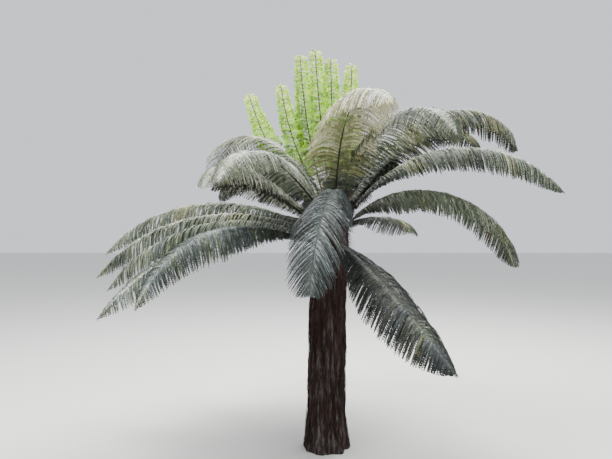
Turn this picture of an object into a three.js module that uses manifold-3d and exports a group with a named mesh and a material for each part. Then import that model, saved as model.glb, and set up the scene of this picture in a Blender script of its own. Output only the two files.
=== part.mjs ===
// A tree fern: a leaning fibrous trunk, a crown of arching fronds that hang at their tips, and young
// fronds that stand upright in the middle with curled tips.
// Millimetres, +Z up. +X is to the right and -Y towards the front. The origin is the middle of the foot.
import * as THREE from "three";
import { mergeVertices } from "three/addons/utils/BufferGeometryUtils.js";
import Module from "manifold-3d";

// Trunk
const TRUNK_HEIGHT = 1980; // from the ground to the top of the crown's dome
const TRUNK_RADIUS = 142; // under the crown
const FOOT_RADIUS = 186; // at the ground
const FLARE_HEIGHT = 190; // over which most of the root flare dies away
const DOME_START = 1600; // where the rounded crown begins
const TRUNK_LEAN = 84; // how far the top stands to +X of the foot
const TRUNK_BEND = 3.5; // above 1 the trunk leans over nearer its top
const TRUNK_SIDES = 20;
const TRUNK_RINGS = [
  0, 60, 140, 260, 420, 620, 830, 1040, 1240, 1420, 1600, 1700, 1780, 1850, 1905, 1945, 1970,
];

// Stubs of shed fronds, in a spiral round the neck of the trunk
const STUB_COUNT = 13;
const STUB_LOW = 1260;
const STUB_HIGH = 1600;
const STUB_LENGTH = 95;
const STUB_RADIUS = 15;
const GOLDEN_ANGLE = 137.5;

// Grown fronds. A frond is a stalk that runs on as the rib of a thin blade.
const RIB_RADIUS = 13; // half the width of the rib at the crown
const RIB_TIP_RADIUS = 2.5;
const RIB_DEPTH = 1.5; // depth of the rib's keel for each unit of its half width
const BLADE_THICKNESS = 4;
const BARE_SHARE = 0.08; // of the frond's length, from the crown to its first leaflets
const LEAFLET_PAIRS = 17;
const BASE_PAIRS = 9; // of those, on the half nearer the crown
const LEAFLET_LENGTH = 345; // the longest leaflet
const LEAFLET_FILL = 0.66; // width of a leaflet at its middle, as a share of the pitch
const LEAFLET_RAISE = 20; // degrees that a leaflet starts above the blade
const LEAFLET_SAG = 2.6; // how strongly leaflets hang down, against their stiffness
const SAG_ALONG = 0.3; // share of that sag which acts along the rib
const SWEEP_BASE = 80; // degrees between leaflet and rib near the crown
const SWEEP_TIP = 48; // and near the tip
const TERMINAL_LENGTH = 45; // leaflet that ends the frond
const SHORTEST_BASE = 0.22; // length of the first leaflets, as a share of the longest
const SHORTEST_TIP = 0.06; // and of the last
const TAPER_START = 0.36; // where leaflets begin to shorten towards the tip
const TAPER_POWER = 3.4;

// Young fronds
const YOUNG_RIB_RADIUS = 8;
const YOUNG_PAIRS = 13;
const YOUNG_LEAFLET_LENGTH = 125;
const YOUNG_SAG = 0.5;
const YOUNG_CURL = 330; // degrees that the tip turns back on itself
const YOUNG_CURL_SHARE = 0.055; // of the length, for that curl
const YOUNG_CURL_STEPS = 7;
const YOUNG_SWEEP = 78; // degrees between leaflet and rib

const GAP = 0.4; // between pieces that meet
const SEAT_SINK = 30; // how far a frond's line starts inside the crown before it is cut to the surface
const TEST_MARGIN = 1.5; // space kept round each leaflet when it is tested against the others
const SHORTENED = [1, 0.8, 0.62, 0.45]; // lengths tried in turn before a leaflet is left out

// A grown frond of the usual kind. azimuth: compass direction in plan, degrees from +X towards +Y. swing: how
// far it turns sideways by the tip. rise, fall: elevation of the rib at the crown and at the tip. late: above 1
// the bend comes nearer the tip. seat: height on the crown. More holds what differs from the usual: full, where
// along the frond its leaflets reach full length, leaf and sweep, their length and sweep against the usual
// ones, taper, above the usual where the tip is blunter, and how they sag near the crown (baseSag) and near
// the tip (sag).
function grown(name, azimuth, swing, length, rise, fall, late, seat, more = {}) {
  const usual = {
    full: 0.4, leaf: 1, taper: TAPER_POWER, baseSag: LEAFLET_SAG, sag: LEAFLET_SAG, sweep: 1,
  };
  return { ...usual, name, azimuth, swing, length, rise, fall, late, seat, ...more };
}

const FRONDS = [
  grown("right_long", 3, -31, 2080, 57, -51, 1.16, 1880, { full: 0.45, taper: 4.5 }),
  grown("right_back_high", 22, -28, 2090, 57, -78, 2.4, 1915, { full: 0.5, taper: 7 }),
  grown("right_back_mid", 36, -7, 2020, 50, -48, 2.4, 1880, { full: 0.5 }),
  grown("right_low", -11.5, 32, 1840, 57, -72, 0.86, 1820, { full: 0.2, taper: 4.5 }),
  grown("right_high", -37.5, -44, 1970, 83, -43, 0.98, 1915),
  grown("front_high", -90, 19, 1980, 66, -35, 1.36, 1915, { full: 0.25, sag: 2.6 }),
  grown("front", -88, -25, 1820, 48, -82, 1, 1850, {
    full: 0.3, leaf: 0.95, taper: 6, baseSag: 5, sag: 1.4, sweep: 0.78,
  }),
  grown("front_right_low", -76, 12, 1990, 19, -32.5, 0.32, 1690, { full: 0.5, sag: 3.2 }),
  grown("left_high", 158, -28, 1860, 68, -73, 1.6, 1880, { full: 0.25, sag: 1.8 }),
  grown("left_front_high", 227, 32, 1850, 44, -41, 1.4, 1880, { full: 0.45, leaf: 0.9 }),
  grown("left_front_mid", 221, 37, 1760, 24, -47, 3.4, 1860, { full: 0.6, leaf: 0.85 }),
  grown("left_inner", 208, 42, 1350, 28, -45, 3.5, 1840, { full: 0.65, leaf: 0.75 }),
  grown("left_long", 171, 13, 1990, 25, -50, 1.4, 1800, { sag: 3 }),
  grown("left_mid", 182, 10, 1990, 22, -52, 1.25, 1780, { sag: 3 }),
  grown("left_low", 190, -2, 1910, 24, -56, 1.15, 1735, { sag: 3 }),
  grown("left_front_long", 202, 15, 2000, 18, -49, 0.97, 1725, { leaf: 0.9, sag: 3 }),
  grown("left_front_low", 215, 23, 1960, 16, -61, 1.7, 1705, { leaf: 0.85, sag: 3 }),
  grown("back_right", 64, 6, 2000, 60, -58, 1.5, 1895, { full: 0.2 }),
  grown("back_mid_right", 79, 5, 2050, 44, -54, 1.4, 1865, { full: 0.2 }),
  grown("back", 93, -6, 1950, 38, -60, 1.2, 1850, { full: 0.2 }),
  grown("back_mid_left", 111, 4, 2000, 46, -56, 1.5, 1870, { full: 0.2 }),
  grown("back_left", 125, 8, 2020, 51, -60, 1.5, 1840, { full: 0.2 }),
  grown("back_right_low", 57, 8, 1860, 34, -14, 0.36, 1800, { full: 0.6, leaf: 0.8 }),
  grown("back_low", 92, -4, 1900, 6, -60, 1, 1720),
  grown("back_left_low", 128, -5, 1900, 22, -42, 1.1, 1780),
  grown("left_back_low", 152, 6, 1950, 22, -46, 1.2, 1770),
];

// turn: degrees that a young frond's blade is turned about its stalk. out: how far from the trunk's middle.
// bare: share of its length without leaflets.
const YOUNG = [
  { name: "young_far_left", azimuth: 145, length: 1540, rise: 34, fall: 74, out: 62, turn: 40, bare: 0.42 },
  { name: "young_left", azimuth: 142, length: 1390, rise: 46.5, fall: 83.5, out: 24, turn: 35, bare: 0.3 },
  { name: "young_mid_left", azimuth: 124, length: 1650, rise: 60, fall: 87, out: 62, turn: 20, bare: 0.3 },
  { name: "young_middle", azimuth: 116, length: 1610, rise: 72, fall: 83, out: 42, turn: 10, bare: 0.27 },
  { name: "young_mid_right", azimuth: 93, length: 1570, rise: 71, fall: 81, out: 56, turn: 0, bare: 0.27 },
  { name: "young_right", azimuth: 35, length: 1380, rise: 79, fall: 91, out: 48, turn: -35, bare: 0.25 },
];

const BARK = new THREE.MeshStandardMaterial({ color: 0x2a1c16, roughness: 0.95, metalness: 0 });
const BLADE = new THREE.MeshStandardMaterial({
  color: 0x5d6b4e, roughness: 0.7, metalness: 0, side: THREE.DoubleSide,
});
const YOUNG_BLADE = new THREE.MeshStandardMaterial({ color: 0xa3c244, roughness: 0.6, metalness: 0 });

const UP = new THREE.Vector3(0, 0, 1);
const radians = THREE.MathUtils.degToRad;
const { lerp, smoothstep } = THREE.MathUtils;

const wasm = await Module();
wasm.setup();

// A list of triangles that grows by points, quads and fans.
class Faces {
  constructor() {
    this.points = [];
  }
  tri(a, b, c) {
    this.points.push(a, b, c);
  }
  quad(a, b, c, d) {
    this.tri(a, b, c);
    this.tri(a, c, d);
  }
  // The same faces, turned over for the other side of a mirror.
  side(hand, ...corners) {
    const ring = hand > 0 ? corners : corners.reverse();
    if (ring.length === 3) this.tri(...ring);
    else this.quad(...ring);
  }
  geometry() {
    return new THREE.BufferGeometry().setFromPoints(this.points);
  }
}

// A closed geometry as a solid that can be joined and cut.
function solidOf(geometry) {
  const bare = new THREE.BufferGeometry().setAttribute("position", geometry.getAttribute("position"));
  const merged = mergeVertices(bare, 1e-3);
  return new wasm.Manifold(
    new wasm.Mesh({
      numProp: 3,
      vertProperties: merged.attributes.position.array,
      triVerts: new Uint32Array(merged.index.array),
    }),
  );
}

function geometryOf(solid) {
  const mesh = solid.getMesh();
  const geometry = new THREE.BufferGeometry();
  geometry.setAttribute("position", new THREE.BufferAttribute(mesh.vertProperties, mesh.numProp));
  geometry.setIndex(new THREE.BufferAttribute(mesh.triVerts, 1));
  return geometry;
}

// Trunk

function trunkCentre(z) {
  return new THREE.Vector3(TRUNK_LEAN * (z / TRUNK_HEIGHT) ** TRUNK_BEND, 0, z);
}

function trunkRadius(z) {
  const flare = (FOOT_RADIUS - TRUNK_RADIUS) * Math.exp(-z / FLARE_HEIGHT);
  const over = Math.max(0, (z - DOME_START) / (TRUNK_HEIGHT - DOME_START));
  return (TRUNK_RADIUS + flare) * Math.sqrt(Math.max(0, 1 - over * over));
}

// Height of the crown's rounded top at a distance from the trunk's middle.
function domeHeight(out) {
  return DOME_START + (TRUNK_HEIGHT - DOME_START) * Math.sqrt(1 - (out / TRUNK_RADIUS) ** 2);
}

// Shallow lobes, deepest at the foot where roots mat together.
function trunkLobes(angle, z) {
  const foot = Math.exp(-z / FLARE_HEIGHT);
  const lobes = 0.035 * Math.sin(3 * angle + z / 330) + 0.025 * Math.sin(5 * angle - z / 210);
  return 1 + lobes + 0.06 * foot * Math.cos(7 * angle);
}

function trunkGeometry(grow) {
  const faces = new Faces();
  const rings = TRUNK_RINGS.map((z) => {
    const centre = trunkCentre(z);
    return Array.from({ length: TRUNK_SIDES }, (_, k) => {
      const angle = (2 * Math.PI * k) / TRUNK_SIDES;
      const radius = trunkRadius(z) * trunkLobes(angle, z) + grow;
      return new THREE.Vector3(centre.x + radius * Math.cos(angle), radius * Math.sin(angle), z);
    });
  });
  const foot = trunkCentre(0);
  const top = trunkCentre(TRUNK_HEIGHT + grow);
  for (let k = 0; k < TRUNK_SIDES; k++) {
    const next = (k + 1) % TRUNK_SIDES;
    faces.tri(foot, rings[0][next], rings[0][k]);
    for (let i = 0; i + 1 < rings.length; i++)
      faces.quad(rings[i][k], rings[i][next], rings[i + 1][next], rings[i + 1][k]);
    faces.tri(rings.at(-1)[k], rings.at(-1)[next], top);
  }
  return faces.geometry();
}

// One old stalk end: a tapered peg that leans out of the trunk and up.
function stub(index) {
  const z = lerp(STUB_LOW, STUB_HIGH, index / (STUB_COUNT - 1));
  const angle = radians(GOLDEN_ANGLE * index + 20);
  const out = new THREE.Vector3(Math.cos(angle), Math.sin(angle), 0);
  const length = STUB_LENGTH * (0.7 + 0.3 * Math.sin(5 * index));
  const peg = new THREE.CylinderGeometry(STUB_RADIUS * 0.6, STUB_RADIUS, length, 5);
  const along = out.clone().multiplyScalar(0.62).addScaledVector(UP, 0.78).normalize();
  peg.applyQuaternion(new THREE.Quaternion().setFromUnitVectors(new THREE.Vector3(0, 1, 0), along));
  const start = trunkCentre(z).addScaledVector(out, trunkRadius(z) - STUB_RADIUS);
  peg.translate(...start.addScaledVector(along, length * 0.4).toArray());
  peg.deleteAttribute("normal");
  peg.deleteAttribute("uv");
  return solidOf(peg.toNonIndexed());
}

const trunkSpace = solidOf(trunkGeometry(GAP));
let trunkSolid = solidOf(trunkGeometry(0));
for (let i = 0; i < STUB_COUNT; i++) trunkSolid = trunkSolid.add(stub(i));

// Lines that fronds and leaflets follow

// Position and axes at the share s of a frond's length. up is the blade's upper side, side its right.
function frondLine(frond) {
  const steps = 120;
  const heading = radians(frond.azimuth);
  const start = trunkCentre(frond.seat);
  const out = new THREE.Vector3(Math.cos(heading), Math.sin(heading), 0);
  const at = start.addScaledVector(out, frond.out ?? trunkRadius(frond.seat) - SEAT_SINK);
  const line = [];
  for (let i = 0; i <= steps; i++) {
    const s = i / steps;
    const curled = smoothstep(s, 1 - 2 * YOUNG_CURL_SHARE, 1 + YOUNG_CURL_SHARE / 2);
    const curl = frond.curl ? frond.curl * curled : 0;
    const climb = radians(lerp(frond.rise, frond.fall, s ** frond.late) - curl);
    const course = heading + radians(frond.swing) * s;
    const flat = new THREE.Vector3(Math.cos(course), Math.sin(course), 0);
    const along = flat.clone().multiplyScalar(Math.cos(climb)).addScaledVector(UP, Math.sin(climb));
    const up = flat.clone().multiplyScalar(-Math.sin(climb)).addScaledVector(UP, Math.cos(climb));
    up.applyAxisAngle(along, radians(-(frond.turn ?? 0)));
    line.push({ at: at.clone(), along, up, side: along.clone().cross(up) });
    at.addScaledVector(along, frond.length / steps);
  }
  return (s) => {
    const i = Math.min(steps - 1, Math.max(0, Math.floor(s * steps)));
    const t = s * steps - i;
    const mix = (key) => line[i][key].clone().lerp(line[i + 1][key], t);
    const direction = (key) => mix(key).normalize();
    return { at: mix("at"), along: direction("along"), up: direction("up"), side: direction("side") };
  };
}

// Leaflet length as a share of the longest, from the first leaflets (0) to the tip (1).
function leafletShare(u, full, taper) {
  const rising = SHORTEST_BASE + (1 - SHORTEST_BASE) * smoothstep(u, 0, full);
  const falling = 1 - Math.max(0, (u - TAPER_START) / (1 - TAPER_START)) ** taper;
  return Math.max(SHORTEST_TIP, rising * falling);
}

// The line of one leaflet: it leaves the rib swept forwards and a little raised, then hangs.
function leafletLine(root, axes, hand, sweep, length, sag) {
  const steps = 8;
  const raise = radians(LEAFLET_RAISE);
  const outward = axes.side.clone().multiplyScalar(hand * Math.cos(raise));
  const across = outward.addScaledVector(axes.up, Math.sin(raise));
  const leaving = axes.along.clone().multiplyScalar(Math.cos(sweep)).addScaledVector(across, Math.sin(sweep));
  const down = UP.clone().negate();
  down.addScaledVector(axes.along, -(1 - SAG_ALONG) * down.dot(axes.along));
  const at = root.clone();
  const line = [];
  for (let i = 0; i <= steps; i++) {
    const along = leaving.clone().addScaledVector(down, (sag * i) / steps).normalize();
    line.push({ at: at.clone(), along });
    at.addScaledVector(along, length / steps);
  }
  return line;
}

// Blades

// The five corners of the rib's section at a station: a flat top, thin edges and a keel below.
function ribSection(station, radius) {
  const corner = (across, high) =>
    station.at.clone().addScaledVector(station.side, across).addScaledVector(station.up, high);
  const half = BLADE_THICKNESS / 2;
  return {
    1: { top: corner(radius, half), low: corner(radius, -half) },
    "-1": { top: corner(-radius, half), low: corner(-radius, -half) },
    keel: corner(0, -half - radius * RIB_DEPTH),
  };
}

// Corners of a leaflet past its root: two pairs at its middle and one point at its tip.
function leafletCorners(rear, front, axes, hand, sweep, length, sag, pitch, margin) {
  const root = rear.top.clone().add(front.low).multiplyScalar(0.5);
  const line = leafletLine(root, axes, hand, sweep, length, sag);
  const middle = line[4];
  const wide = axes.along.clone().addScaledVector(middle.along, -axes.along.dot(middle.along));
  const flat = wide.clone().normalize();
  const face = flat.clone().cross(middle.along).multiplyScalar(-hand);
  const halfWidth = (wide.length() * pitch * LEAFLET_FILL) / 2 + margin;
  const half = BLADE_THICKNESS / 2 + margin;
  const corner = (w, h) =>
    middle.at.clone().addScaledVector(flat, w * halfWidth).addScaledVector(face, h * half);
  return {
    rearTop: corner(-1, 1),
    rearLow: corner(-1, -1),
    frontTop: corner(1, 1),
    frontLow: corner(1, -1),
    tip: line[8].at.clone().addScaledVector(line[8].along, margin),
  };
}

function addLeaflet(faces, hand, rear, front, leaf) {
  faces.side(hand, rear.top, leaf.rearTop, leaf.frontTop, front.top);
  faces.side(hand, rear.low, front.low, leaf.frontLow, leaf.rearLow);
  faces.side(hand, leaf.rearTop, leaf.tip, leaf.frontTop);
  faces.side(hand, leaf.rearLow, leaf.frontLow, leaf.tip);
  faces.side(hand, rear.top, rear.low, leaf.rearLow, leaf.rearTop);
  faces.side(hand, leaf.tip, leaf.rearTop, leaf.rearLow);
  faces.side(hand, front.top, leaf.frontTop, leaf.frontLow, front.low);
  faces.side(hand, leaf.frontTop, leaf.tip, leaf.frontLow);
}

function addShortLeaflet(faces, hand, rear, front, tip) {
  faces.side(hand, rear.top, tip, front.top);
  faces.side(hand, rear.low, front.low, tip);
  faces.side(hand, rear.top, rear.low, tip);
  faces.side(hand, front.top, tip, front.low);
}

function addRib(faces, rear, front) {
  faces.quad(rear[-1].top, rear[1].top, front[1].top, front[-1].top);
  faces.quad(rear[1].low, rear.keel, front.keel, front[1].low);
  faces.quad(rear.keel, rear[-1].low, front[-1].low, front.keel);
}

function addStartCap(faces, section) {
  faces.tri(section[1].top, section[-1].top, section.keel);
  faces.tri(section[-1].top, section[-1].low, section.keel);
  faces.tri(section[1].top, section.keel, section[1].low);
}

function addEndCap(faces, section) {
  faces.tri(section[-1].top, section[1].top, section.keel);
  faces.tri(section.keel, section[-1].low, section[-1].top);
  faces.tri(section[1].top, section[1].low, section.keel);
}

function addPoint(faces, section, point) {
  const ring = [section[-1].top, section[1].top, section[1].low, section.keel, section[-1].low];
  ring.forEach((corner, i) => faces.tri(corner, ring[(i + 1) % ring.length], point));
}

// What already stands in space, by frond, for testing new leaflets against.
const standing = [{ owner: "trunk", solid: trunkSolid, box: trunkSolid.boundingBox() }];

function boxesMeet(a, b) {
  return [0, 1, 2].every((k) => a.min[k] <= b.max[k] && b.min[k] <= a.max[k]);
}

function isFree(solid, owner) {
  const box = solid.boundingBox();
  return standing.every((other) => {
    if (other.owner === owner || !boxesMeet(box, other.box)) return true;
    const common = solid.intersect(other.solid);
    const empty = common.isEmpty();
    common.delete();
    return empty;
  });
}

function stand(owner, solid) {
  standing.push({ owner, solid, box: solid.boundingBox() });
}

const shareAt = (pair) => BARE_SHARE + ((1 - BARE_SHARE) * pair) / LEAFLET_PAIRS;

// Stations along a grown frond, with the radius of the rib at each.
function ribStations(line, shares) {
  return shares.map((s) => {
    const radius = RIB_TIP_RADIUS + (RIB_RADIUS - RIB_TIP_RADIUS) * (1 - s) ** 0.9;
    const station = line(s);
    return { ...station, s, section: ribSection(station, radius) };
  });
}

function ribOnly(stations) {
  const faces = new Faces();
  addStartCap(faces, stations[0].section);
  for (let i = 0; i + 1 < stations.length; i++) {
    const rear = stations[i].section;
    const front = stations[i + 1].section;
    addRib(faces, rear, front);
    for (const hand of [1, -1])
      faces.side(hand, rear[hand].top, rear[hand].low, front[hand].low, front[hand].top);
  }
  addEndCap(faces, stations.at(-1).section);
  return solidOf(faces.geometry());
}

// A leaflet alone, closed at its root, with a little space round it.
function leafletSpace(rear, front, hand, leaf) {
  const faces = new Faces();
  addLeaflet(faces, hand, rear, front, leaf);
  faces.side(hand, rear.top, front.top, front.low, rear.low);
  return solidOf(faces.geometry());
}

// The longest leaflet that fits between two stations, or null.
function fittedLeaflet(frond, rear, front, hand) {
  const middle = (rear.s + front.s) / 2;
  const u = (middle - BARE_SHARE) / (1 - BARE_SHARE);
  const axes = frond.line(middle);
  const steeper = lerp(1, frond.sweep, smoothstep(u, 0, 0.35));
  const sweep = radians(lerp(SWEEP_BASE, SWEEP_TIP, u) * steeper);
  const pitch = (frond.length * (1 - BARE_SHARE)) / LEAFLET_PAIRS;
  const wanted = LEAFLET_LENGTH * frond.leaf * leafletShare(u, frond.full, frond.taper);
  const sag = lerp(frond.baseSag, frond.sag, smoothstep(u, 0.25, 0.6));
  for (const share of SHORTENED) {
    const shape = (margin) =>
      leafletCorners(
        rear.section[hand], front.section[hand], axes, hand, sweep, wanted * share, sag, pitch, margin,
      );
    const space = leafletSpace(rear.section[hand], front.section[hand], hand, shape(TEST_MARGIN));
    if (isFree(space, frond.name)) {
      stand(frond.name, space);
      return shape(0);
    }
    space.delete();
  }
  return null;
}

function bladeHalf(frond, stations, ends) {
  const faces = new Faces();
  addStartCap(faces, stations[0].section);
  for (let i = 0; i + 1 < stations.length; i++) {
    const rear = stations[i];
    const front = stations[i + 1];
    addRib(faces, rear.section, front.section);
    for (const hand of [1, -1]) {
      const leafy = rear.s >= BARE_SHARE - 1e-9;
      const leaf = leafy ? fittedLeaflet(frond, rear, front, hand) : null;
      const [a, b] = [rear.section[hand], front.section[hand]];
      if (leaf) addLeaflet(faces, hand, a, b, leaf);
      else faces.side(hand, a.top, a.low, b.low, b.top);
    }
  }
  const last = stations.at(-1);
  if (ends) addPoint(faces, last.section, last.at.clone().addScaledVector(last.along, TERMINAL_LENGTH));
  else addEndCap(faces, last.section);
  return solidOf(faces.geometry());
}

function growFrond(spec) {
  const frond = { ...spec, line: frondLine(spec) };
  const split = shareAt(BASE_PAIRS);
  const afterSplit = split + GAP / spec.length;
  const baseShares = [0, BARE_SHARE / 2];
  for (let pair = 0; pair <= BASE_PAIRS; pair++) baseShares.push(shareAt(pair));
  const tipShares = [afterSplit];
  for (let pair = BASE_PAIRS + 1; pair < LEAFLET_PAIRS; pair++) tipShares.push(shareAt(pair));
  tipShares.push(1 - 0.35 / LEAFLET_PAIRS);
  frond.baseStations = ribStations(frond.line, baseShares);
  frond.tipStations = ribStations(frond.line, tipShares);
  stand(spec.name, ribOnly(frond.baseStations));
  stand(spec.name, ribOnly(frond.tipStations));
  return frond;
}

// A young leaflet alone, closed at its root, with a little space round it.
function youngLeafletSpace(rear, front, hand, tip) {
  const swollen = (station, back) => {
    const shift = (high) => station.up.clone().multiplyScalar(high).addScaledVector(station.along, back);
    const edge = station.section[hand];
    return {
      top: edge.top.clone().add(shift(TEST_MARGIN)),
      low: edge.low.clone().add(shift(-TEST_MARGIN)),
    };
  };
  const [a, b] = [swollen(rear, -TEST_MARGIN), swollen(front, TEST_MARGIN)];
  const faces = new Faces();
  addShortLeaflet(faces, hand, a, b, tip);
  faces.side(hand, a.top, b.top, b.low, a.low);
  return solidOf(faces.geometry());
}

// The tip of the longest young leaflet that fits between two stations, or null.
function fittedYoungTip(frond, rear, front, hand, wanted) {
  const root = rear.section[hand].top.clone().add(front.section[hand].low).multiplyScalar(0.5);
  for (const share of SHORTENED) {
    const tipAt = (margin) =>
      leafletLine(root, rear, hand, radians(YOUNG_SWEEP), wanted * share + margin, YOUNG_SAG).at(-1).at;
    const space = youngLeafletSpace(rear, front, hand, tipAt(2 * TEST_MARGIN));
    if (isFree(space, frond.name)) {
      stand(frond.name, space);
      return tipAt(0);
    }
    space.delete();
  }
  return null;
}

// Leaflet length on a young frond, from its first leaflets (0) to the last before the curl (1).
function youngShare(u) {
  return 0.4 + 0.6 * smoothstep(u, -0.1, 0.3) - 0.3 * smoothstep(u, 0.6, 1);
}

// A young frond: short leaflets on a nearly straight stalk, bare and curled up at its tip.
function growYoung(spec) {
  const seat = domeHeight(spec.out) - SEAT_SINK;
  const line = frondLine({ ...spec, swing: 0, late: 1, curl: YOUNG_CURL, seat });
  const curlStart = 1 - 2 * YOUNG_CURL_SHARE;
  const shares = [0, spec.bare / 2];
  for (let i = 0; i <= YOUNG_PAIRS; i++) shares.push(lerp(spec.bare, curlStart, i / YOUNG_PAIRS));
  for (let i = 1; i <= YOUNG_CURL_STEPS; i++) shares.push(lerp(curlStart, 0.995, i / YOUNG_CURL_STEPS));
  const stations = shares.map((s) => {
    const station = line(s);
    return { ...station, s, section: ribSection(station, YOUNG_RIB_RADIUS * (1 - 0.72 * s)) };
  });
  stand(spec.name, ribOnly(stations));
  return { name: spec.name, bare: spec.bare, stations, curlStart };
}

function youngBlade(frond) {
  const { bare, stations, curlStart } = frond;
  const faces = new Faces();
  addStartCap(faces, stations[0].section);
  for (let i = 0; i + 1 < stations.length; i++) {
    const [rear, front] = [stations[i], stations[i + 1]];
    addRib(faces, rear.section, front.section);
    const u = ((rear.s + front.s) / 2 - bare) / (curlStart - bare);
    const leafy = u > 0 && u < 1;
    for (const hand of [1, -1]) {
      const length = YOUNG_LEAFLET_LENGTH * youngShare(u);
      const tip = leafy ? fittedYoungTip(frond, rear, front, hand, length) : null;
      const [a, b] = [rear.section[hand], front.section[hand]];
      if (tip) addShortLeaflet(faces, hand, a, b, tip);
      else faces.side(hand, a.top, a.low, b.low, b.top);
    }
  }
  addEndCap(faces, stations.at(-1).section);
  return solidOf(faces.geometry());
}

// Assembly

const plant = new THREE.Group();

function addPiece(name, solid, material) {
  const mesh = new THREE.Mesh(geometryOf(solid), material);
  mesh.name = name;
  plant.add(mesh);
}

addPiece("trunk", trunkSolid, BARK);

const fronds = FRONDS.map(growFrond);

for (const frond of YOUNG.map(growYoung))
  addPiece(frond.name, youngBlade(frond).subtract(trunkSpace), YOUNG_BLADE);

for (const frond of fronds) {
  const base = bladeHalf(frond, frond.baseStations, false).subtract(trunkSpace);
  addPiece(`frond_${frond.name}_base`, base, BLADE);
  addPiece(`frond_${frond.name}_tip`, bladeHalf(frond, frond.tipStations, true), BLADE);
}

export default plant;
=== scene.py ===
"""Looks for a tree fern: fine fronds, ribs, bark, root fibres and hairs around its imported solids.

Metres, +Z up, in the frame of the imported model. Fronds follow the same rule as the solids: a rib that bends
from its rise to its fall, and leaflets that leave it in pairs and hang. Here there are about seven times as
many leaflets on a usual frond, and each carries small lobes. All randomness is seeded.
"""

import math

import bpy
import numpy as np
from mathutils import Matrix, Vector


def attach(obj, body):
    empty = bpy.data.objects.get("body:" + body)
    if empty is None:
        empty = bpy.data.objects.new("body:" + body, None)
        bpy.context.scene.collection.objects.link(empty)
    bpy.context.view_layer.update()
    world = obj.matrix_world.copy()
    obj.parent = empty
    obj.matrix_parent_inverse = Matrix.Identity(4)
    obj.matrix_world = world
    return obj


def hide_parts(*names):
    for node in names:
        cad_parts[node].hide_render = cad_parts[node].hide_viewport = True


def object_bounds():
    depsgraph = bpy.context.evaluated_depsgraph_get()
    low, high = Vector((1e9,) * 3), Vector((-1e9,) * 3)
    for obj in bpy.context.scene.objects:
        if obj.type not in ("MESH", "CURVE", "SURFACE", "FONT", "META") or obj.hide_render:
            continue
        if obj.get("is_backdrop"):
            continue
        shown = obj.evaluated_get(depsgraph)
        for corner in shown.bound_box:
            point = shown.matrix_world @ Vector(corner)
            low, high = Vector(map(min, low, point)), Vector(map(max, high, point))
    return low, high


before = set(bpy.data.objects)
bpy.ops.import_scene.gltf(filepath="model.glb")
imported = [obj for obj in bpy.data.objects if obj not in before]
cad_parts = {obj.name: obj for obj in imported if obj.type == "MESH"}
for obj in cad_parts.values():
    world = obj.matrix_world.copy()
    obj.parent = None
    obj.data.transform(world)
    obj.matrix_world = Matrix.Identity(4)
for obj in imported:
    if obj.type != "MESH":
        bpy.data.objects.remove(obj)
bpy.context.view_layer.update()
rng = np.random.default_rng(11)

# Trunk, as in the solids
TRUNK_HEIGHT = 1.98
TRUNK_RADIUS = 0.142
FOOT_RADIUS = 0.186
FLARE_HEIGHT = 0.19
DOME_START = 1.6
TRUNK_LEAN = 0.084
TRUNK_BEND = 3.5
THREE_LOBES = 0.035  # depth of three wide lobes round the trunk, and the height in which they turn
THREE_LOBES_TURN = 0.33
FIVE_LOBES = 0.025
FIVE_LOBES_TURN = 0.21
FOOT_LOBES = 0.06  # seven more, at the foot alone
STUB_COUNT = 13
STUB_LOW = 1.26
STUB_HIGH = 1.6
STUB_LENGTH = 0.095
STUB_RADIUS = 0.015
STUB_SPREAD = 0.3
STUB_TURN = 20
STUB_SINK = 0.1
STUB_WAY = (0.62, 0.78)  # outwards and up
GOLDEN_ANGLE = 137.5

# Grown fronds, as in the solids but for the number of leaflets
STALK_RADIUS = 0.015
RIB_RADIUS = 0.0095
RIB_TIP_RADIUS = 0.0016
BARE_SHARE = 0.08
LEAFLET_PAIRS = 126
LEAFLET_LENGTH = 0.345
LEAFLET_RAISE = 20
LEAFLET_SAG = 2.6
TAPER_START = 0.36  # leaflets shorten towards the tip from here on
FIRST_SHARE = 0.22  # length of the first leaflets
SHORTEST_SHARE = 0.06
SAG_ALONG = 0.3
SWEEP_BASE = 80
SWEEP_TIP = 48
SWEEP_CHANGE = (0, 0.35)  # a frond's own sweep comes in between these shares of its length
SAG_CHANGE = (0.25, 0.6)  # and its sag changes between these
SEAT_SINK = 0.03

# Young fronds
YOUNG_RIB_RADIUS = 0.008
YOUNG_PAIRS = 32
YOUNG_LEAFLET_LENGTH = 0.13
YOUNG_SAG = 0.5
YOUNG_CURL = 330
YOUNG_CURL_SHARE = 0.055
YOUNG_SWEEP = 78
YOUNG_RIB_TAPER = 0.72
YOUNG_FIRST_LOBE = 0.2
YOUNG_TIP_TAPER = 0.5
LEAFLET_CURL = math.radians(250)  # tips of young leaflets turn back by so much
CURL_POWER = 2.6  # high, so that a leaflet curls near its tip

# Lobes along each leaflet
LOBE_SPACING = 0.0145
LEAST_LOBES = 3
FIRST_LOBE = 0.6  # its place, in spacings from the leaflet's root
END_GAP = 0.2  # spacings left free at the leaflet's tip
ROOT_REACH = 0.75  # length of the first lobes against the longest
ROOT_END = 0.15  # the longest start from here on
TIP_START = 0.65  # lobes shorten towards the leaflet's tip from here on
TIP_TAPER = 0.6
TIP_POWER = 1.8
LOBE_LIMIT = 0.3  # no lobe is longer than this share of its leaflet
LOBE_REACH = 0.6  # length of the longest lobes, as a share of the spacing of leaflets
LOBE_WIDTH = 0.5  # half width of a lobe, as a share of the spacing of lobes
LOBE_SWEEP_BASE = 80
LOBE_SWEEP_TIP = 50
LOBE_DROOP = 0.34
LOBE_ROLL = 8  # degrees by which leaflets turn about their own line, at random
TILT_SHARE = 0.15  # how far leaflets turn their faces up to the sky
TILT_LIMIT = 15
COSTA_RADIUS = 0.0014

# Leaflets leave the rib beside and above its middle, by these shares of its radius
ROOT_OUT = 0.1
ROOT_UP = 0.3

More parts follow.
